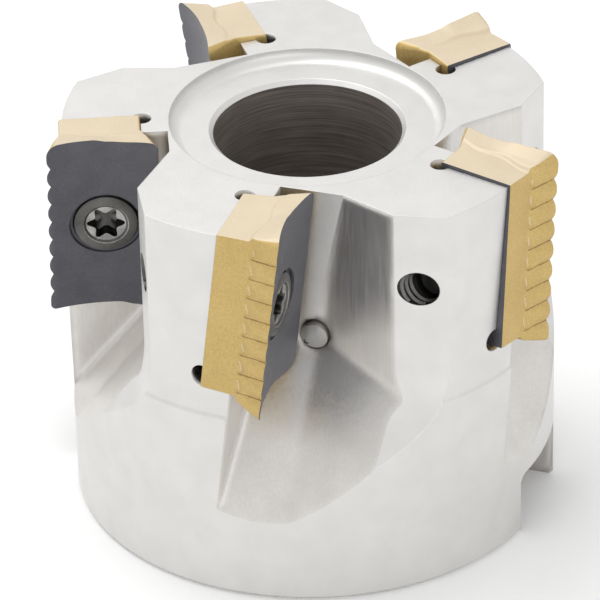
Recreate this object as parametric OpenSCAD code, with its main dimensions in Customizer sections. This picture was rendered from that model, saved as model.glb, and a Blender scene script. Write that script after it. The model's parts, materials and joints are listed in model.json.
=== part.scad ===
// Shell-type face mill with five screwed-on indexable inserts and coolant nozzles.
// Origin: on the axis, in the arbor (back) face. +Z points to the cutting face. Millimetres.

/* [Cutter] */
// Height of the front face of the body
face_h = 39; // [38.8:0.1:39.2]
// Diameter of the body below the teeth
body_d = 46.3; // [46:0.1:46.5]
// Diameter of the relieved lands behind the inserts
land_d = 45.9; // [45.7:0.1:45.9]
// Height at which the lands start
land_h = 19.4; // [19:0.1:20]
// Direction of the first tooth, in degrees from +X
first_tooth = -96.7; // [-110:0.1:-90]

/* [Arbor connection] */
// Bore for the arbor pilot
arbor_d = 22; // [21.9:0.01:22.1]
// Depth of the arbor bore from the back face
arbor_depth = 17; // [16:0.5:18]
// Clearance hole for the arbor screw
screw_hole_d = 11; // [10.5:0.5:12]
// Counterbore for the arbor screw's head
counterbore_d = 17.7; // [17:0.1:18]
// Height of the counterbore's floor above the back face
counterbore_floor = 26.5; // [25.5:0.5:28]
// Diameter of the turned recess round the counterbore
recess_d = 25.9; // [25.5:0.1:26]
// Depth of the turned recess
recess_depth = 1.25; // [0.8:0.05:1.4]
// Width of the drive slot
slot_w = 10.4; // [10:0.1:11]
// Depth of the drive slot
slot_depth = 6.3; // [5.6:0.1:6.4]
// Direction of the drive slot, in degrees from +X
slot_angle = -20.2; // [-22:0.1:-19]

/* [Insert] */
// Thickness of an insert
ins_t = 6.2; // [6:0.1:6.3]
// Width of an insert on its seat
ins_w = 7.7; // [7.5:0.1:7.8]
// Length of an insert on its seat
ins_l = 16.2; // [16:0.1:16.4]
// Pitch of the serrated cutting edge
wave_pitch = 2.05; // [1.9:0.05:2.2]
// Axial rake of the seat, in degrees
axial_rake = 7; // [6:0.5:8]
// Radial tilt of the seat, in degrees
radial_tilt = 12.2; // [11.5:0.1:12.5]

/* [Insert screw] */
// Thread diameter of the insert screw
thread_d = 4; // [4:0.1:4.2]
// Diameter of the screw's head
head_d = 6.1; // [5.8:0.1:6.2]
// How far the screw reaches into the body
screw_reach = 5.3; // [4.8:0.1:5.6]

/* [Coolant nozzle] */
// Diameter of the nozzle's head
nozzle_d = 2.6; // [2.4:0.1:2.8]
// How far the nozzle stands out of the gullet floor
nozzle_out = 0.8; // [0.5:0.1:0.9]

/* [Hidden] */
$fn = 96;

// Unequal spacing of the five teeth, which breaks up chatter
tooth_angle = [0, 73.2, 143.6, 216.1, 291.4];
tooth_count = len(tooth_angle);
body_r = body_d / 2;
land_r = land_d / 2;
arbor_r = arbor_d / 2;
bore_r = counterbore_d / 2;
recess_r = recess_d / 2;
recess_floor = face_h - recess_depth;
big = 60;
eps = 0.01;

// Seat: its outer front corner in the tooth's own frame (+X outwards, +Y the way it cuts)
seat_x = 22.6;
seat_y = -5.9;
seat_gap = 0.05;
// The rest of the pocket
ledge_v = 2.7;
pocket_gap = 0.06;
relief_r = 0.95;
notch_r = 1.1;
// Facet behind each land: distance from the axis, direction, and run-out ramp
facet_n = 17.3;
facet_angle = -75;
facet_end_h = 19.85;
facet_ramp = 36;
facet_blend = 9;
facet_from = 8.5;
// Gullet: back wall (in the next tooth's frame) and floor, each a plane with a run-out ramp
wall_n = 9.268;
wall_h = 24;
wall_angle = -107;
wall_tilt = -16;
wall_ramp = 39.5;
wall_blend = 2;
floor_n = 12.105;
floor_h = 22.7;
floor_angle = -11;
floor_tilt = -8.75;
floor_lean = 3.64;
floor_ramp = 41.8;
floor_blend = 4;
// Insert: the seat half is square to the seat, the rake half flares out
waist_v = 2.9;
flare_out = 1.12;
flare_in = 1.6;
edge_turn = -1.2;
flank_slope = 0.37;
seat_side = -0.1;
front_rise = 1.77;
back_drop = 1.6;
step_rise = 0.7;
// Hollow along the rake face: its middle, its lowest point and its radius
hollow_u = -4.1;
hollow_v = 5.47;
hollow_r = 18.18;
corner_r = 1.25;
seat_rise = 0.36;
wave_count = 8;
wave_r = 0.8;
wave_deep = 0.3;
wave_tilt = 0;
// Screw axis on the seat
screw_u = -4.23;
screw_w = -8.31;
screw_in = 1.3;
screw_up = 2.7;
hole_r = thread_d / 2 + 0.25;
head_top_v = 5.65;
cone_slope = 0.577;
core_r = 1.72;
fit = 0.05;
// Nozzle
nozzle_y = 0.64;
nozzle_up = 0.8;
nozzle_stem_r = 1;
spot_depth = 0.3;
spot_gap = 0.2;
nozzle_stem_l = 2.2;
coolant_r = 0.8;
orifice_r = 0.4;

function tooth_az(i) = first_tooth + tooth_angle[i];

// Places children in tooth i's own frame
module at_tooth(i) {
    rotate([0, 0, tooth_az(i)])
        children();
}

// Places children in tooth i's seat frame: X out along the seat, Y off the seat, Z up it
module at_seat(i) {
    at_tooth(i)
        translate([seat_x, seat_y, face_h])
            rotate([0, 0, -radial_tilt])
                rotate([-axial_rake, 0, 0])
                    children();
}

// Leans children with the screw, which pulls the insert into the corner of its pocket
module on_screw_axis() {
    translate([screw_u, 0, screw_w])
        rotate([screw_up, 0, -screw_in])
            rotate([-90, 0, 0])
                children();
}

// Places children on the screw's axis, with Z off the seat
module at_screw(i) {
    at_seat(i)
        on_screw_axis()
            children();
}

// Places children on the gullet floor where its ramp starts, with X out of the floor
module on_floor(i) {
    at_tooth(i)
        rotate([0, 0, floor_angle])
            rotate([floor_tilt, 0, 0])
                translate([floor_n, 0, floor_h])
                    rotate([0, floor_lean, 0])
                        children();
}

// Places children at the nozzle, with Z out of the gullet floor
module at_nozzle(i) {
    on_floor(i)
        translate([0, nozzle_y, nozzle_up])
            rotate([0, 90, 0])
                children();
}

// Space beside an upright plane at X = 0 that ramps outwards below Z = 0, with a rounded blend
module ramped_space(ramp, r) {
    blend = r * tan(ramp / 2);
    rotate([90, 0, 0])
        linear_extrude(height = 2 * big, center = true) {
            polygon([
                [0, big],
                [0, blend],
                [r, blend],
                [blend * sin(ramp), -blend * cos(ramp)],
                [big * sin(ramp), -big * cos(ramp)],
                [2 * big, -big * cos(ramp)],
                [2 * big, big]
            ]);
            translate([r, blend])
                circle(r = r, $fn = 180);
        }
}

// Turned blank with its bores
module blank() {
    rotate_extrude($fn = 180)
        difference() {
            polygon([
                [screw_hole_d / 2, arbor_depth],
                [arbor_r, arbor_depth],
                [arbor_r, 0.4],
                [arbor_r + 0.4, 0],
                [body_r - 0.4, 0],
                [body_r, 0.4],
                [body_r, land_h],
                [land_r, land_h + 0.3],
                [land_r, face_h],
                [recess_r, face_h],
                [recess_r, recess_floor],
                [bore_r + 0.4, recess_floor],
                [bore_r, recess_floor - 0.4],
                [bore_r, counterbore_floor],
                [screw_hole_d / 2, counterbore_floor]
            ]);
        }
}

// Fillet at the foot of the recess wall
module recess_fillet(r = 1.05) {
    rotate_extrude($fn = 180)
        difference() {
            translate([recess_r - r, recess_floor - eps])
                square([r + eps, r + eps]);
            translate([recess_r - r, recess_floor + r])
                circle(r = r);
        }
}

module drive_slot() {
    rotate([0, 0, slot_angle])
        rotate([90, 0, 90])
            linear_extrude(height = big, center = true) {
                translate([-slot_w / 2, -1])
                    square([slot_w, slot_depth]);
                translate([-slot_w / 2 + 1, slot_depth - 1 - eps])
                    square([slot_w - 2, 1 + eps]);
                for (side = [-1, 1])
                    translate([side * (slot_w / 2 - 1), slot_depth - 1])
                        circle(r = 1);
            }
}

// Flat behind the land, blending into the ramp where it runs out
module facet_cut(i) {
    at_tooth(i)
        rotate([0, 0, facet_angle])
            translate([facet_n, big + facet_from, facet_end_h])
                ramped_space(facet_ramp, facet_blend);
}

module gullet(i) {
    intersection() {
        at_tooth((i + 1) % tooth_count)
            rotate([0, 0, wall_angle])
                rotate([wall_tilt, 0, 0])
                    translate([wall_n, 0, wall_h])
                        ramped_space(wall_ramp, wall_blend);
        on_floor(i)
            ramped_space(floor_ramp, floor_blend);
        at_seat(i)
            translate([-30, ledge_v, -40])
                cube([60, 40, 60]);
    }
}

// Seat, ledge and inner wall of the pocket, with its relief grooves
module pocket(i) {
    at_seat(i) {
        translate([-ins_w - pocket_gap, 0, -ins_l - pocket_gap])
            cube([big, ledge_v + 1, big]);
        translate([-ins_w - 0.15, 0.15, -ins_l])
            cylinder(r = relief_r, h = big, $fn = 48);
        translate([-ins_w, -0.1, -ins_l + 0.7])
            rotate([0, 90, 0])
                cylinder(r = notch_r, h = big, $fn = 48);
    }
}

module tapped_hole(i) {
    at_screw(i) {
        translate([0, 0, -14])
            cylinder(r = core_r, h = 14, $fn = 48);
        translate([0, 0, -screw_reach - 0.3])
            cylinder(d = thread_d, h = screw_reach + 0.8, $fn = 48);
        translate([0, 0, -0.35])
            cylinder(r1 = thread_d / 2, r2 = thread_d / 2 + 0.4, h = 0.4, $fn = 48);
    }
}

// Spot face and seat of a nozzle, and the drilling to the end of the arbor bore
module coolant_way(i) {
    at_nozzle(i) {
        translate([0, 0, -spot_depth])
            cylinder(r = nozzle_d / 2 + spot_gap, h = 4, $fn = 48);
        translate([0, 0, -nozzle_stem_l - 0.1])
            cylinder(r = nozzle_stem_r + 0.02, h = nozzle_stem_l + 1, $fn = 48);
        translate([0, 0, -nozzle_stem_l + 0.8])
            rotate([0, 116, 0])
                cylinder(r = coolant_r, h = 8.5, $fn = 48);
    }
}

module body() {
    color("gainsboro")
        difference() {
            union() {
                blank();
                recess_fillet();
            }
            drive_slot();
            for (i = [0 : tooth_count - 1]) {
                facet_cut(i);
                gullet(i);
                pocket(i);
                tapped_hole(i);
                coolant_way(i);
            }
        }
}

// Outer side of the insert, parallel to the cutter's axis; it flares towards the rake face
module insert_outer() {
    rotate([0, edge_turn, 0])
        translate([0, 0, -30])
            linear_extrude(height = 50)
                polygon([
                    [-20, seat_gap - 1],
                    [seat_side, seat_gap - 1],
                    [seat_side, waist_v],
                    [flare_out, ins_t],
                    [flare_out + flank_slope, ins_t + 1],
                    [-20, ins_t + 1]
                ]);
}

// Inner side and the two broad faces of the insert
module insert_inner() {
    translate([0, 0, -30])
        linear_extrude(height = 50)
            polygon([
                [10, seat_gap],
                [10, ins_t],
                [-ins_w - flare_in, ins_t],
                [-ins_w, waist_v],
                [-ins_w, seat_gap]
            ]);
}

// Insert outline from the side, with a step across each end
module insert_side() {
    rotate([90, 0, 90])
        linear_extrude(height = 40, center = true)
            polygon([
                [-1, seat_rise],
                [waist_v, seat_rise],
                [waist_v + 0.25, step_rise],
                [ins_t + 1, front_rise + 1 * (front_rise - step_rise) / (ins_t - waist_v)],
                [ins_t + 1, -ins_l - back_drop - 1 * (back_drop - step_rise) / (ins_t - waist_v)],
                [waist_v + 0.25, -ins_l - step_rise],
                [waist_v, -ins_l],
                [-1, -ins_l]
            ]);
}

module insert_block() {
    intersection() {
        insert_inner();
        insert_outer();
        insert_side();
    }
}

module rake_hollow() {
    translate([hollow_u, hollow_v + hollow_r, -30])
        cylinder(r = hollow_r, h = 50, $fn = 360);
}

// Rounds the outer front corner of the rake half
module corner_cut() {
    difference() {
        translate([flare_out - corner_r, waist_v, front_rise - corner_r])
            cube([corner_r + 2, 10, corner_r + 2]);
        translate([flare_out - corner_r, waist_v - 1, front_rise - corner_r])
            rotate([-90, 0, 0])
                cylinder(r = corner_r, h = 12, $fn = 48);
    }
}

// Grooves that make the cutting edge wavy, each fading out down the flank
module edge_waves() {
    lean = atan((flare_out - seat_side - wave_deep) / (ins_t - waist_v));
    rotate([0, edge_turn, 0])
        for (k = [0 : wave_count - 1])
            translate([flare_out - wave_deep + wave_r, ins_t, -0.9 - k * wave_pitch])
                rotate([90, 0, 0])
                    rotate([wave_tilt, -lean, 0])
                        translate([0, 0, -2])
                            cylinder(r = wave_r, h = 2 + (ins_t - waist_v) / cos(lean), $fn = 32);
}

// Through hole with its countersink
module screw_way() {
    cone_top = head_top_v - 0.45;
    cone_bottom = cone_top - (head_d / 2 + fit - hole_r) / cone_slope;
    on_screw_axis() {
        translate([0, 0, -1])
            cylinder(r = hole_r, h = 1.1 + cone_bottom, $fn = 64);
        translate([0, 0, cone_bottom])
            cylinder(r1 = hole_r, r2 = head_d / 2 + fit, h = cone_top - cone_bottom, $fn = 64);
        translate([0, 0, cone_top - 0.01])
            cylinder(r = head_d / 2 + 0.35, h = 3, $fn = 64);
    }
}

module insert(i) {
    color("goldenrod")
        at_seat(i)
            difference() {
                insert_block();
                rake_hollow();
                corner_cut();
                edge_waves();
                screw_way();
            }
}

// Six-lobed drive socket
module lobe_socket(depth) {
    linear_extrude(height = depth) {
        circle(r = 1.2, $fn = 48);
        for (a = [0 : 60 : 300])
            rotate(a)
                translate([1.25, 0])
                    circle(r = 0.42, $fn = 24);
    }
}

module insert_screw(i) {
    head_low = head_top_v - 0.5;
    color("dimgray")
        at_screw(i)
            difference() {
                rotate_extrude()
                    polygon([
                        [0, -screw_reach],
                        [thread_d / 2 - 0.55, -screw_reach],
                        [thread_d / 2 - fit, -screw_reach + 0.5],
                        [thread_d / 2 - fit, head_low - (head_d - thread_d + 2 * fit) / 2 / cone_slope],
                        [head_d / 2, head_low],
                        [head_d / 2, head_top_v - 0.25],
                        [head_d / 2 - 0.3, head_top_v],
                        [0, head_top_v]
                    ]);
                translate([0, 0, head_top_v - 1.5])
                    lobe_socket(3);
            }
}

module coolant_nozzle(i) {
    color("gray")
        at_nozzle(i)
            difference() {
                union() {
                    translate([0, 0, -nozzle_stem_l])
                        cylinder(r = nozzle_stem_r, h = nozzle_stem_l + 0.1, $fn = 48);
                    translate([0, 0, 0.02 - spot_depth])
                        cylinder(d = nozzle_d, h = nozzle_out + spot_depth - 0.27, $fn = 48);
                    translate([0, 0, nozzle_out - 0.25 - eps])
                        cylinder(d1 = nozzle_d, d2 = nozzle_d - 0.5, h = 0.25, $fn = 48);
                }
                translate([0.75, 0, -nozzle_stem_l - 1])
                    cylinder(r = orifice_r, h = 8, $fn = 32);
            }
}

body();
for (i = [0 : tooth_count - 1]) {
    insert(i);
    insert_screw(i);
    coolant_nozzle(i);
}
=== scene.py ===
import json
import math

import bpy
from mathutils import Matrix, Vector


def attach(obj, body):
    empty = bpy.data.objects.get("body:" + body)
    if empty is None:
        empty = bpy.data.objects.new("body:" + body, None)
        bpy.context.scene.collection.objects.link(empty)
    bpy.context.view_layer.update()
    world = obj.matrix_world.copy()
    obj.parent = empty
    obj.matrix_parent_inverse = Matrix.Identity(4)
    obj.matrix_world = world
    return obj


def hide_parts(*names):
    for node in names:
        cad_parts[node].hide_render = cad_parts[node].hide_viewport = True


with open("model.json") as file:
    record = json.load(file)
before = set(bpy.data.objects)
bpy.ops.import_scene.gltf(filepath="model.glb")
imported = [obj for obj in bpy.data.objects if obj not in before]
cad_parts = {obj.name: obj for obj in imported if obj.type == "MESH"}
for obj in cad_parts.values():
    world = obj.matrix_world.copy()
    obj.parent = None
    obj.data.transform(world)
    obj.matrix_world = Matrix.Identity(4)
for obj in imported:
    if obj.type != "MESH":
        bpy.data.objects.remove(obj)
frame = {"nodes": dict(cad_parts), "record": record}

# Sizes are in millimetres in each part's own frame, and MM turns them into the row's metres.
MM = 0.001
TEETH = range(1, 6)
ROOT = "cutter_body"

# The seat frame in a tooth's frame, as the CAD has it: u out along the seat, v off it, w up it
SEAT = Vector((22.6, -5.9, 39.0))
RADIAL_TILT = math.radians(12.2)
AXIAL_RAKE = math.radians(7.0)
SCREW_AT = Vector((-4.23, 0.0, -8.31))
SCREW_IN = math.radians(1.3)
SCREW_UP = math.radians(2.7)
SEAT_TURN = Matrix.Rotation(-RADIAL_TILT, 4, "Z") @ Matrix.Rotation(-AXIAL_RAKE, 4, "X")
SCREW_TURN = Matrix.Rotation(-SCREW_IN, 4, "Z") @ Matrix.Rotation(SCREW_UP, 4, "X")

# Body: the sizes of the CAD that the finishes, the thread and the nozzles need
LAND_R = 22.95
FACE_H = 39.0
BORE_R = 8.85
ARBOR_R = 11.0
HOLE_R = 2.0
CORE_R = 1.72
FACET_N = 17.3
FACET_TURN = math.radians(-75)
FLOOR_AT = Vector((12.105, 0.0, 22.7))
FLOOR_TURN = math.radians(-11)
FLOOR_TILT = math.radians(-8.75)
FLOOR_LEAN = math.radians(3.64)
NOZZLE_Y = 0.64
NOZZLE_UP = 0.8

# Insert: heights off the seat, and its width and length on the seat
RAKE_V = 6.2
SEAT_V = 0.05
WAIST_V = 3.0
INSERT_W = 7.7
INSERT_L = 16.2
# How far the cutting edge stands out, and how much more for each millimetre down it
EDGE_U = 1.1
EDGE_LEAN = 0.021
# The flank by the seat, and how far its last edge is drawn in
FLANK_U = -0.1
SEAT_EDGE_IN = 0.06
# The waves of the cutting edge, the first one's valley and how deep each valley is
WAVES = 8
WAVE_PITCH = 2.05
WAVE_TOP = -0.9
WAVE_DEEP = 0.37
# The hollow along the rake face: its middle, its lowest point and its radius
HOLLOW_U = -4.1
HOLLOW_V = 5.47
HOLLOW_R = 18.18


def smooth(a, b, x):
    t = min(max((x - a) / (b - a), 0.0), 1.0)
    return t * t * (3 - 2 * t)


def through(points, x):
    """A smooth curve through (x, y) points, given with x falling."""
    if x >= points[0][0]:
        return points[0][1]
    for (xa, ya), (xb, yb) in zip(points, points[1:]):
        if x >= xb:
            return ya + (yb - ya) * smooth(0, 1, (xa - x) / (xa - xb))
    return points[-1][1]


# ---------------------------------------------------------------- frames

def joint(name):
    return next(j for j in frame["record"]["behaviour"]["joints"] if j["name"] == name)


def tooth_turn(n):
    """The tooth's azimuth, from its screw's axis in the record."""
    local = SEAT_TURN @ SCREW_TURN @ Vector((0, 1, 0))
    axis = Vector(joint(f"screw_{n}_turn")["axis"])
    return math.atan2(axis.y, axis.x) - math.atan2(local.y, local.x)


def tooth_frame(n):
    return Matrix.Rotation(tooth_turn(n), 4, "Z")


def seat_frame(n):
    return tooth_frame(n) @ Matrix.Translation(SEAT) @ SEAT_TURN


def screw_frame(n):
    """Z off the seat along the screw's axis."""
    turn = SCREW_TURN @ Matrix.Rotation(-math.pi / 2, 4, "X")
    return seat_frame(n) @ Matrix.Translation(SCREW_AT) @ turn


def nozzle_frame(n):
    """Z out of the gullet's floor."""
    turn = Matrix.Rotation(FLOOR_TURN, 4, "Z") @ Matrix.Rotation(FLOOR_TILT, 4, "X")
    lean = Matrix.Rotation(FLOOR_LEAN, 4, "Y")
    at = Matrix.Translation(Vector((0, NOZZLE_Y, NOZZLE_UP)))
    out = Matrix.Rotation(math.pi / 2, 4, "Y")
    return tooth_frame(n) @ turn @ Matrix.Translation(FLOOR_AT) @ lean @ at @ out


# ---------------------------------------------------------------- meshes

def make_mesh(name, points, faces, place, materials, face_materials=None, sharp=0.6):
    mesh = bpy.data.meshes.new(name)
    mesh.from_pydata([place @ Vector(p) * MM for p in points], [], faces)
    for m in materials:
        mesh.materials.append(m)
    if face_materials:
        mesh.polygons.foreach_set("material_index", face_materials)
    mesh.polygons.foreach_set("use_smooth", [True] * len(mesh.polygons))
    mesh.set_sharp_from_angle(angle=sharp)
    mesh.update()
    obj = bpy.data.objects.new(name, mesh)
    bpy.context.scene.collection.objects.link(obj)
    return obj


def ring_faces(count, size, closed):
    """Quads between neighbouring rings of the same number of points."""
    faces = []
    for i in range(count if closed else count - 1):
        a, b = i * size, ((i + 1) % count) * size
        for k in range(size):
            j = (k + 1) % size
            faces.append((a + k, a + j, b + j, b + k))
    return faces


def polar_ring(radius, z, size):
    """A ring whose radius changes with the angle."""
    ring = []
    for k in range(size):
        a = 2 * math.pi * k / size
        ring.append((radius(a) * math.cos(a), radius(a) * math.sin(a), z))
    return ring


def circle_ring(r, z, size):
    return polar_ring(lambda a: r, z, size)


def turned(name, rings, place, materials, ring_materials=None, sharp=0.5):
    """A closed body of rings, with a cap on its first and last ring."""
    size = len(rings[0])
    last = (len(rings) - 1) * size
    kinds = ring_materials or [0] * len(rings)
    faces = ring_faces(len(rings), size, False)
    faces.append(tuple(reversed(range(size))))
    faces.append(tuple(last + k for k in range(size)))
    index = [kind for kind in kinds[:-1] for _ in range(size)] + [0, kinds[-1]]
    points = [p for ring in rings for p in ring]
    return make_mesh(name, points, faces, place, materials, index, sharp)


# ---------------------------------------------------------------- materials

def new_material(name):
    mat = bpy.data.materials.new(name)
    mat.use_nodes = True
    tree = mat.node_tree
    return mat, tree, tree.nodes["Principled BSDF"]


def node(tree, kind, **values):
    made = tree.nodes.new(kind)
    for key, value in values.items():
        if key in made.inputs:
            made.inputs[key].default_value = value
        else:
            setattr(made, key, value)
    return made


def noise(tree, scale, detail=3.0, stretch=(1, 1, 1)):
    """Noise in the object's own coordinates, scale in cycles a millimetre."""
    place = node(tree, "ShaderNodeTexCoord")
    mapping = node(tree, "ShaderNodeMapping")
    mapping.inputs["Scale"].default_value = [1000 * scale * s for s in stretch]
    made = node(tree, "ShaderNodeTexNoise", Scale=1.0, Detail=detail)
    tree.links.new(place.outputs["Object"], mapping.inputs["Vector"])
    tree.links.new(mapping.outputs["Vector"], made.inputs["Vector"])
    return made.outputs["Fac"]


def spread(tree, value, low, high, a=0.3, b=0.7):
    made = node(tree, "ShaderNodeMapRange")
    made.inputs["From Min"].default_value = a
    made.inputs["From Max"].default_value = b
    made.inputs["To Min"].default_value = low
    made.inputs["To Max"].default_value = high
    tree.links.new(value, made.inputs["Value"])
    return made.outputs["Result"]


def mixed(tree, value, a, b, low=0.35, high=0.65):
    made = node(tree, "ShaderNodeMix", data_type="RGBA")
    made.inputs[6].default_value = (*a, 1)
    made.inputs[7].default_value = (*b, 1)
    tree.links.new(spread(tree, value, 0, 1, low, high), made.inputs["Factor"])
    return made.outputs[2]


def bump(tree, shader, heights, round_edges=0.0):
    """heights: (value, distance in mm) pairs, laid over each other."""
    last = None
    if round_edges:
        edge = node(tree, "ShaderNodeBevel", samples=6, Radius=round_edges * MM)
        last = edge.outputs["Normal"]
    for value, distance in heights:
        made = node(tree, "ShaderNodeBump", Strength=1.0, Distance=distance * MM)
        tree.links.new(value, made.inputs["Height"])
        if last:
            tree.links.new(last, made.inputs["Normal"])
        last = made.outputs["Normal"]
    if last:
        tree.links.new(last, shader.inputs["Normal"])


def metal(
    name, light, dark, rough, grain, grain_mm,
    stretch=(1, 1, 1), metallic=1.0, edge=0.12, speckle=0.3,
):
    """Plain metal: two tones in patches and speckles, uneven roughness and a fine grain.

    grain is in cycles a millimetre, grain_mm is its height and edge is the rounding of the edges.
    """
    mat, tree, shader = new_material(name)
    shader.inputs["Metallic"].default_value = metallic
    fine = noise(tree, grain, 3.0, stretch)
    tone = node(tree, "ShaderNodeMix", data_type="FLOAT")
    tone.inputs[0].default_value = speckle
    tree.links.new(noise(tree, 0.35, 4.0), tone.inputs[2])
    tree.links.new(fine, tone.inputs[3])
    tree.links.new(mixed(tree, tone.outputs[0], dark, light), shader.inputs["Base Color"])
    tree.links.new(spread(tree, fine, rough[0], rough[1]), shader.inputs["Roughness"])
    bump(tree, shader, [(fine, grain_mm)], edge)
    return mat


blasted = metal(
    "blasted_nickel", (0.745, 0.738, 0.722), (0.70, 0.692, 0.675), (0.42, 0.55), 4.0, 0.010
)
milled = metal(
    "milled_nickel", (0.74, 0.72, 0.69), (0.65, 0.63, 0.605), (0.34, 0.44), 5.0, 0.004,
    stretch=(1, 1, 0.05), edge=1.3, speckle=0.5,
)
# The bore keeps a turned grain, and its dark colour is painted shade inside it
turned_bore_painted_shade = metal(
    "turned_bore_painted_shade", (0.30, 0.27, 0.245), (0.16, 0.14, 0.125), (0.45, 0.6), 2.4, 0.02,
    stretch=(0.06, 0.06, 2.4), metallic=0.45, speckle=0.8,
)
# Near-black painted on the walls and thread of the tapped holes, as the shade inside them
thread_painted_shade = metal("tapped_hole_painted_shade", (0.20, 0.19, 0.18), (0.10, 0.10, 0.10), (0.35, 0.5), 3.0, 0.01)
gold = metal(
    "gold_coating", (0.62, 0.455, 0.18), (0.50, 0.35, 0.125), (0.42, 0.56), 5.0, 0.008,
    metallic=0.55, edge=0.05, speckle=0.7,
)
# Pale gold for the top end of an insert, also used as a painted highlight along the flank's creases
pale_gold_and_crease_highlight = metal(
    "pale_gold_with_painted_crease_highlight", (0.70, 0.60, 0.44), (0.64, 0.54, 0.39), (0.5, 0.62), 5.0, 0.006,
    metallic=0.4, edge=0.05, speckle=0.6,
)
# Dark gold painted into the flank's valleys as shade
valley_painted_shade = metal(
    "painted_shade_in_flank_valleys", (0.33, 0.22, 0.08), (0.26, 0.17, 0.06), (0.5, 0.6), 5.0, 0.004,
    metallic=0.5,
)
black_coat = metal(
    "black_coating", (0.115, 0.115, 0.13), (0.08, 0.08, 0.094), (0.38, 0.52), 4.0, 0.008,
    metallic=0.5, edge=0.06, speckle=0.5,
)
dark_steel = metal(
    "dark_screw_steel", (0.15, 0.147, 0.14), (0.085, 0.084, 0.08), (0.28, 0.42), 3.0, 0.006,
    edge=0.08,
)
bright_edge = metal(
    "bright_socket_edge", (0.50, 0.49, 0.475), (0.22, 0.215, 0.21), (0.25, 0.4), 3.0, 0.006,
    edge=0.04,
)
nozzle_metal = metal(
    "nozzle_steel", (0.44, 0.43, 0.415), (0.34, 0.335, 0.325), (0.45, 0.55), 3.0, 0.005,
    edge=0.05,
)
# Near-black painted on a plug in the nozzle's head as the shade of its orifice
orifice_shade_paint = metal(
    "painted_orifice_shade", (0.03, 0.03, 0.03), (0.02, 0.02, 0.02), (0.6, 0.8), 2.0, 0.002,
    metallic=0.2, edge=0.0,
)


# ---------------------------------------------------------------- body

# The finishes of the body, in the order of its materials; the last two are dark as painted shade in the
# bores and tapped holes
BLASTED, MILLED, TURNED_SHADED_BORE, THREAD_SHADE = range(4)
# Radius round the recess, its lowest height, and the height of the web between the bores
RECESS_R = 13.6
RECESS_H = 37.4
WEB_H = 26.0
FACET_FROM_R = 18.5
BACK_CHAMFER = 0.7
# How far inside a land, and off a facet, the middle of a face on it may lie
LAND_SKIN = 0.12
FACET_SKIN = 0.03


def facet_out(n):
    """The direction of the facet behind a tooth's land."""
    turn = tooth_turn(n) + FACET_TURN
    return Vector((math.cos(turn), math.sin(turn), 0))


def in_screw_hole(inverse, centre, normal):
    """Whether a face lies on the wall of a tapped hole."""
    q = inverse @ centre
    across = abs((inverse.to_3x3() @ normal).z) < 0.3
    return across and q.z < 0.1 and CORE_R - 0.3 < math.hypot(q.x, q.y) < HOLE_R + 0.4


def body_finish(centre, normal, facets, holes):
    """Blasted outside and milled in the gullets and pockets; the turned bores and the tapped holes get
    dark colours painted as the shade inside them.
    """
    r = math.hypot(centre.x, centre.y)
    # The tapped holes' walls and the bores are coloured dark as painted shade.
    if any(in_screw_hole(inverse, centre, normal) for inverse in holes):
        return THREAD_SHADE
    if r < RECESS_R and centre.z > WEB_H:
        return BLASTED if r > BORE_R + 0.2 or centre.z > RECESS_H else TURNED_SHADED_BORE
    if r < ARBOR_R + 0.3:
        return TURNED_SHADED_BORE
    if r > LAND_R - LAND_SKIN or centre.z > FACE_H - 0.05 or centre.z < BACK_CHAMFER:
        return BLASTED
    flat_n = FACET_N - FACET_SKIN
    on_facet = any(f.dot(centre) > flat_n and f.dot(normal) > 0.8 for f in facets)
    return BLASTED if r > FACET_FROM_R and on_facet else MILLED


def paint_body():
    """Gives each face of the body its finish, with painted shade in the bores and tapped holes, by
    where it lies.
    """
    mesh = frame["nodes"]["body"].data
    mesh.materials.clear()
    for m in (blasted, milled, turned_bore_painted_shade, thread_painted_shade):
        mesh.materials.append(m)
    facets = [facet_out(n) for n in TEETH]
    holes = [screw_frame(n).inverted() for n in TEETH]
    index = [body_finish(p.center / MM, p.normal, facets, holes) for p in mesh.polygons]
    mesh.polygons.foreach_set("material_index", index)
    mesh.update()


# The thread: pitch, turns drawn, points in a turn, where it starts and how far inside the facet
THREAD_PITCH = 0.7
THREAD_TURNS = 7
THREAD_STEPS = 48
THREAD_START = -6.2
THREAD_IN = 0.22
# Across the ridge of the thread, as (radius, along the axis)
THREAD_RIDGE = (
    (CORE_R + 0.05, 0.28), (CORE_R - 0.24, 0.05), (CORE_R - 0.24, -0.05), (CORE_R + 0.05, -0.28)
)


def thread_piece(n):
    """The turns of the thread that show where the hole comes out behind the land."""
    place = screw_frame(n)
    out = facet_out(n)
    points, faces = [], []
    in_run = False
    for k in range(THREAD_TURNS * THREAD_STEPS + 1):
        a = 2 * math.pi * k / THREAD_STEPS
        z = THREAD_START - THREAD_PITCH * k / THREAD_STEPS
        reach = out.dot(place @ Vector((CORE_R * math.cos(a), CORE_R * math.sin(a), z)))
        inside = reach < FACET_N - THREAD_IN and k < THREAD_TURNS * THREAD_STEPS
        at = len(points)
        if inside:
            points += [(r * math.cos(a), r * math.sin(a), z + dz) for r, dz in THREAD_RIDGE]
        if inside and in_run:
            for j in range(4):
                i = (j + 1) % 4
                faces.append((at + j, at + i, at - 4 + i, at - 4 + j))
        elif inside:
            faces.append((at, at + 1, at + 2, at + 3))
        elif in_run:
            faces.append((at - 1, at - 2, at - 3, at - 4))
        in_run = inside
    # The thread is coloured dark as painted shade inside the hole.
    obj = make_mesh(f"hole_thread_{n}", points, faces, place, [thread_painted_shade], sharp=0.4)
    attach(obj, ROOT)


# ---------------------------------------------------------------- inserts

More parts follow.
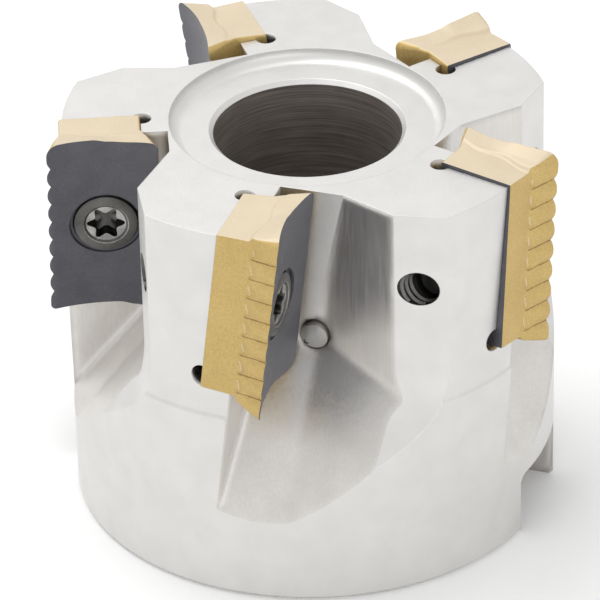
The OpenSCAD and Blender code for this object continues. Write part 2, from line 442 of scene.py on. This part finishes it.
# How far the rake face's top and bottom edges stand past the seat half, as (u, distance)
TOP_EDGE = [
    (1.2, 1.45), (0.3, 1.72), (-1.2, 1.76), (-3.2, 1.75),
    (-4.6, 1.52), (-6.2, 1.44), (-8.0, 1.5), (-9.4, 1.5),
]
BOTTOM_EDGE = [(1.2, 1.2), (-5.0, 1.22), (-6.6, 1.5), (-7.4, 1.58), (-9.4, 1.58)]
# The coats of an insert, in the order of its materials
# The coatings of an insert and its painted light, in the order of its materials: gold, black, pale gold
# on the top end that is also a painted highlight on the flank's creases, and dark gold painted as shade
# in the flank's valleys
PLAIN, BLACK, PALE_END_AND_CREASE_HIGHLIGHT, VALLEY_SHADE = range(4)
# Half the width of a valley's line of painted shade, as a part of a wave, and of a crease's painted
# highlight
VALLEY_SHADE_HALF = 0.032
CREASE_HIGHLIGHT_HALF = 0.05
# How much further out the inner side stands at the rake face than at the waist
INNER_FLARE = 1.55


def rake_v(u):
    """The rake face: a long hollow between two narrow lands."""
    away = u - HOLLOW_U
    return min(RAKE_V, HOLLOW_V + HOLLOW_R - math.sqrt(HOLLOW_R ** 2 - away * away))


def wave_phase(v, w):
    """Waves down the cutting edge, whole in each valley. The valleys run slightly askew."""
    return (w - WAVE_TOP) / WAVE_PITCH + 0.07 * (RAKE_V - v)


def flank_border(v, w):
    """Where a lobe of the flank starts: a zigzag, one tooth to a lobe."""
    phase = wave_phase(v, w)
    saw = phase - math.floor(phase)
    return WAIST_V + 0.25 + 0.6 * (1 - saw) * smooth(0.0, 0.18, saw)


def flank_u(v, w):
    """The flank: flat by the seat, then flaring lobes that meet in sharp valleys."""
    phase = wave_phase(v, w)
    near = abs(phase - round(phase))
    waved = 1.0 if -WAVES + 0.5 < phase < 0.5 else 0.0
    border = flank_border(v, w)
    flat = FLANK_U - EDGE_LEAN * w - SEAT_EDGE_IN * smooth(0.25, 0.08, v)
    limit = EDGE_U - EDGE_LEAN * w
    t = max(0.0, v - border) / (RAKE_V - border)
    out = flat + (limit - flat) * (t + 0.12 * math.sin(math.pi * min(t, 1.0)))
    valley = 0.35 * math.exp(-near / 0.06) + 0.65 * math.exp(-(near / 0.24) ** 2)
    return out - waved * smooth(0.05, 0.6, t) * WAVE_DEEP * valley


def flank_coat_and_painted_light(v, w):
    """The coat at a point of the flank: a painted highlight on the crease round a lobe, painted shade
    in a valley.
    """
    phase = wave_phase(v, w)
    if not -WAVES + 0.4 < phase < 0.4:
        return PLAIN
    border = flank_border(v, w)
    # A narrow line down each valley is painted dark as shade.
    if v > border + 0.25 and abs(phase - round(phase)) < VALLEY_SHADE_HALF:
        return VALLEY_SHADE
    # The crease round each lobe is painted pale as a highlight.
    on_crease_highlight = abs(v - border) < CREASE_HIGHLIGHT_HALF and 0.12 < phase - math.floor(phase) < 0.62
    return PALE_END_AND_CREASE_HIGHLIGHT if on_crease_highlight else PLAIN


def inner_u(v):
    """The insert's inner side, which flares out above the waist."""
    return -INSERT_W - INNER_FLARE * max(0.0, v - WAIST_V) / (RAKE_V - WAIST_V)


def step_line(u):
    """Where the step across an end lies: it climbs inwards in two sweeps."""
    return WAIST_V + 0.15 - 0.06 * u + 0.22 * math.sin(1.25 * u - 0.4)


def top_w(u, v):
    """The end by the cutting face: a seat half, a step, then a slope up to the rake face."""
    rise = through(TOP_EDGE, u)
    line = step_line(u)
    seat = 0.26 - 0.012 * u + (0.06 - 0.0165 * u) * min(v, line)
    step = smooth(line, line + 0.45, v)
    slope = max(0.0, v - line - 0.2) / (RAKE_V - line - 0.2)
    return seat + (rise - seat) * (0.3 * step + 0.7 * slope)


def bottom_w(u, v):
    """The other end, shaped the same way."""
    drop = through(BOTTOM_EDGE, u)
    line = WAIST_V + 0.2 * math.sin(1.3 * u)
    step = 0.35 * smooth(line, line + 0.75, v)
    slope = max(0.0, v - line - 0.2) / (RAKE_V - line - 0.2)
    return -INSERT_L - drop * (step + 0.65 * slope)


# Points along the flank, each corner, each end and the inner side
FLANK_POINTS = 300
CORNER_POINTS = 12
END_POINTS = 44
INNER_POINTS = 24
# Where the rake half starts to follow the hollow of the rake face
HOLLOW_FROM_V = 4.2
# The rim of the screw's countersink on the rake face
COUNTERSINK_V = 5.6
COUNTERSINK_R = 3.44
# The countersink and hole below the rim, as (radius, height off the seat)
HOLE_STEPS = ((3.36, 5.28), (3.12, 5.2), (2.37, 3.9), (2.25, 3.69), (2.25, SEAT_V))
# Where the rings between the outline and that rim lie
RAKE_STEPS = (0.03, 0.06, 0.14, 0.3, 0.5, 0.7, 0.85, 0.95, 1.0)


def corner(cu, cw, r_u, r_w, a0, a1):
    """Points between two ends of an elliptical corner, ends left out."""
    made = []
    for k in range(1, CORNER_POINTS):
        a = math.radians(a0 + (a1 - a0) * k / CORNER_POINTS)
        made.append((cu + r_u * math.cos(a), cw + r_w * math.sin(a)))
    return made


def insert_outline(v):
    """The insert's outline at distance v off its seat, as (u, w) points: up its flank and round.

    Each corner is small by the seat and grows to its full radius on the rake face.
    """
    grown = smooth(WAIST_V, RAKE_V, v)
    top_r = 0.15 + 1.05 * grown
    bottom_r = 0.15 + 0.35 * grown
    inner_r = 0.2 + 0.5 * grown
    low_r = 0.2 + 1.1 * grown
    inner = inner_u(v)
    low = bottom_w(1.0, v) + bottom_r
    high = top_w(0.2, v) - top_r
    ring = []
    for k in range(FLANK_POINTS):
        w = low + (high - low) * k / (FLANK_POINTS - 1)
        ring.append((flank_u(v, w), w))
    edge = flank_u(v, high)
    cu = edge - top_r
    w_in = top_w(cu, v)
    ring += corner(cu, high, top_r, w_in - high, 0, 90)
    for k in range(END_POINTS):
        u = cu + (inner + inner_r - cu) * k / (END_POINTS - 1)
        ring.append((u, top_w(u, v)))
    w_c = top_w(inner + inner_r, v)
    ring += corner(inner + inner_r, w_c - inner_r, inner_r, inner_r, 90, 180)
    w_d = bottom_w(inner + low_r, v)
    for k in range(INNER_POINTS):
        t = k / (INNER_POINTS - 1)
        ring.append((inner, (w_c - inner_r) * (1 - t) + (w_d + low_r) * t))
    ring += corner(inner + low_r, w_d + low_r, low_r, low_r, 180, 270)
    edge_low = flank_u(v, low)
    cu_low = edge_low - bottom_r
    for k in range(END_POINTS):
        u = inner + low_r + (cu_low - inner - low_r) * k / (END_POINTS - 1)
        ring.append((u, bottom_w(u, v)))
    w_low = bottom_w(cu_low, v)
    ring += corner(cu_low, low, bottom_r, low - w_low, 270, 360)
    return ring


def hole_point(v, r, angle):
    """A point of a circle round the screw's axis, at height v off the seat."""
    axis = SCREW_TURN @ Vector((0, 1, 0))
    c = SCREW_AT + axis * (v / axis.y)
    return (c.x + r * math.cos(angle), v, c.z + r * math.sin(angle))


def insert_levels():
    """Heights off the seat at which the outline is drawn, closest where the lobes start."""
    low = [SEAT_V, 0.12, 0.25, 1.0, 2.0, 2.7, 3.0]
    middle = [3.0 + 0.07 * k for k in range(1, 16)]
    high = [HOLLOW_FROM_V + 0.19 * k for k in range(10)]
    return low + middle + high + [RAKE_V - 0.05, RAKE_V]


def insert_piece(n):
    """The insert's real skin: waved flank, stepped ends, rake face and countersunk hole."""
    levels = insert_levels()
    rim = insert_outline(RAKE_V)
    size = len(rim)
    centre = hole_point(RAKE_V, 0, 0)
    angles = [math.atan2(w - centre[2], u - centre[0]) for u, w in rim]
    rings = []
    for v in levels:
        sunk = max(0.0, v - HOLLOW_FROM_V) / (RAKE_V - HOLLOW_FROM_V)
        rings.append([(u, v - (RAKE_V - rake_v(u)) * sunk, w) for u, w in insert_outline(v)])
    for t in RAKE_STEPS:
        ring = []
        for (u, w), a in zip(rim, angles):
            hx, _, hz = hole_point(COUNTERSINK_V, COUNTERSINK_R, a)
            x = u + (hx - u) * t
            ring.append((x, rake_v(x), w + (hz - w) * t))
        rings.append(ring)
    inside = (hole_point(COUNTERSINK_V, COUNTERSINK_R - 0.06, a) for a in angles)
    rings.append([(x, rake_v(x) - 0.05, z) for x, _, z in inside])
    for r, v in HOLE_STEPS:
        rings.append([hole_point(v, r, a) for a in angles])
    top_from = FLANK_POINTS + CORNER_POINTS - 5
    top_to = FLANK_POINTS + CORNER_POINTS + END_POINTS + 1
    index = []
    for i, (low, high) in enumerate(zip(levels, levels[1:])):
        for k in range(size):
            # Pale gold along the top end, the same colour as the creases' painted highlight
            if top_from <= k < top_to:
                index.append(PALE_END_AND_CREASE_HIGHLIGHT)
            elif k < FLANK_POINTS - 1:
                index.append(flank_coat_and_painted_light((low + high) / 2, rings[i][k][2]))
            else:
                index.append(PLAIN)
    index += [BLACK] * (size * (len(rings) - len(levels) + 1))
    points = [p for ring in rings for p in ring]
    faces = ring_faces(len(rings), size, True)
    # Pale gold serves the top end and the flank's painted crease highlight; dark gold is the valleys'
    # painted shade.
    coats_and_painted_light = [gold, black_coat, pale_gold_and_crease_highlight, valley_painted_shade]
    obj = make_mesh(f"insert_skin_{n}", points, faces, seat_frame(n), coats_and_painted_light, index, 0.55)
    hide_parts(f"insert_{n}")
    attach(obj, f"insert_{n}")


# ---------------------------------------------------------------- screws

SCREW_SIDES = 96
# The screw from its tip up to the socket's rim, as (radius, height off the seat, finish),
# where finish 1 is the bright edge
SCREW_RINGS = (
    (1.45, -5.3, 0), (1.95, -4.8, 0), (1.95, 3.3, 0), (3.02, 5.08, 0),
    (3.05, 5.15, 0), (3.05, 5.38, 0), (2.98, 5.50, 0), (2.75, 5.60, 0),
    (2.45, 5.64, 0), (2.15, 5.65, 1), (2.08, 5.61, 0), (1.88, 5.45, 1),
)
# The six-lobed socket down to its floor, as (part of its full size, height off the seat)
SOCKET_RINGS = ((1.04, 5.4), (0.99, 5.2), (0.96, 4.2), (0.5, 4.05))


def star(a):
    """The radius of a six-lobed socket."""
    return 1.38 + 0.30 * math.cos(6 * a) + 0.04 * math.cos(12 * a)


def screw_piece(n):
    rings = [circle_ring(r, z, SCREW_SIDES) for r, z, _ in SCREW_RINGS]
    rings += [polar_ring(lambda a: part * star(a), z, SCREW_SIDES) for part, z in SOCKET_RINGS]
    finish = [kind for _, _, kind in SCREW_RINGS] + [0] * len(SOCKET_RINGS)
    metals = [dark_steel, bright_edge]
    obj = turned(f"screw_skin_{n}", rings, screw_frame(n), metals, finish, 0.5)
    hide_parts(f"insert_screw_{n}")
    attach(obj, f"insert_screw_{n}")


# ---------------------------------------------------------------- nozzles

NOZZLE_SIDES = 84
# Stem and head of the nozzle, as (radius, height over the gullet's floor)
NOZZLE_RINGS = ((0.98, -2.2), (0.98, -0.27), (1.26, -0.25), (1.30, -0.18), (1.30, 0.58), (1.26, 0.64))
# The orifice is a dark plug painted as its shade: its rings as (radius, height over the floor), where
# it sits on the head and its sides
MOUTH_RINGS = ((0.27, 0.40), (0.27, 0.74), (0.23, 0.75), (0.18, 0.70))
MOUTH_AT = Vector((0.72, -0.62, 0.0))
MOUTH_SIDES = 24


def five_sided(a):
    """The five-sided flat on the nozzle's head."""
    side = 2 * math.pi / 5
    return 0.66 / math.cos((a + 0.9) % side - side / 2)


def nozzle_piece(n):
    place = nozzle_frame(n)
    rings = [circle_ring(r, z, NOZZLE_SIDES) for r, z in NOZZLE_RINGS]
    rings.append(polar_ring(five_sided, 0.79, NOZZLE_SIDES))
    rings += [circle_ring(r, 0.80, NOZZLE_SIDES) for r in (0.4, 0.05)]
    obj = turned(f"nozzle_skin_{n}", rings, place, [nozzle_metal], sharp=0.35)
    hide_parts(f"coolant_nozzle_{n}")
    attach(obj, ROOT)
    # A dark plug standing in for the orifice, coloured as its shade
    mouth = [circle_ring(r, z, MOUTH_SIDES) for r, z in MOUTH_RINGS]
    at = place @ Matrix.Translation(MOUTH_AT)
    hole = turned(f"nozzle_orifice_shade_{n}", mouth, at, [orifice_shade_paint])
    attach(hole, ROOT)


# ---------------------------------------------------------------- stage

def floor():
    mat, _, shader = new_material("pale_floor")
    shader.inputs["Base Color"].default_value = (0.93, 0.93, 0.93, 1)
    shader.inputs["Roughness"].default_value = 0.9
    half = 1500
    points = [(-half, -half, 0), (half, -half, 0), (half, half, 0), (-half, half, 0)]
    obj = make_mesh("floor", points, [(0, 1, 2, 3)], Matrix.Identity(4), [mat])


def area_light(name, at, aim, size, power):
    data = bpy.data.lights.new(name, "AREA")
    data.shape = "RECTANGLE"
    data.size, data.size_y = size[0] * MM, size[1] * MM
    data.energy = power
    obj = bpy.data.objects.new(name, data)
    bpy.context.scene.collection.objects.link(obj)
    obj.location = Vector(at) * MM
    obj.rotation_mode = "QUATERNION"
    obj.rotation_quaternion = (Vector(at) - Vector(aim)).to_track_quat("Z", "Y")


def light_the_stage():
    world = bpy.data.worlds.new("studio")
    bpy.context.scene.world = world
    world.use_nodes = True
    back = world.node_tree.nodes["Background"]
    back.inputs["Color"].default_value = (1.0, 1.0, 1.0, 1)
    back.inputs["Strength"].default_value = 0.92
    area_light("key", (-170, 140, 500), (0, 0, 20), (320, 320), 1.0)
    area_light("fill", (160, -420, 130), (0, 0, 15), (240, 160), 0.2)


# The camera: where it stands, its focal length and its yaw, pitch down and roll in degrees
CAMERA_AT = Vector((0.0, -390.6, 261.3))
LENS = 288.8
CAMERA_TURN = (-0.1655, 31.84, -1.504)


def camera():
    data = bpy.data.cameras.new("camera")
    data.sensor_width = 36
    data.lens = LENS
    data.clip_start, data.clip_end = 0.01, 10
    obj = bpy.data.objects.new("camera", data)
    bpy.context.scene.collection.objects.link(obj)
    yaw, pitch, roll = (math.radians(angle) for angle in CAMERA_TURN)
    ahead = Vector((math.sin(yaw) * math.cos(pitch), math.cos(yaw) * math.cos(pitch), -math.sin(pitch)))
    right = Vector((math.cos(yaw), -math.sin(yaw), 0))
    up = right.cross(ahead)
    level = Matrix((right, up, -ahead)).transposed().to_4x4()
    turn = level @ Matrix.Rotation(roll, 4, "Z")
    obj.matrix_world = Matrix.Translation(CAMERA_AT * MM) @ turn
    bpy.context.scene.camera = obj


def look():
    scene = bpy.context.scene
    scene.view_settings.view_transform = "Standard"
    scene.view_settings.look = "None"
    scene.view_settings.exposure = 0.0


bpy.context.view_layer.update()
camera()
light_the_stage()
look()
floor()
paint_body()
for n in TEETH:
    insert_piece(n)
    screw_piece(n)
    nozzle_piece(n)
    thread_piece(n)
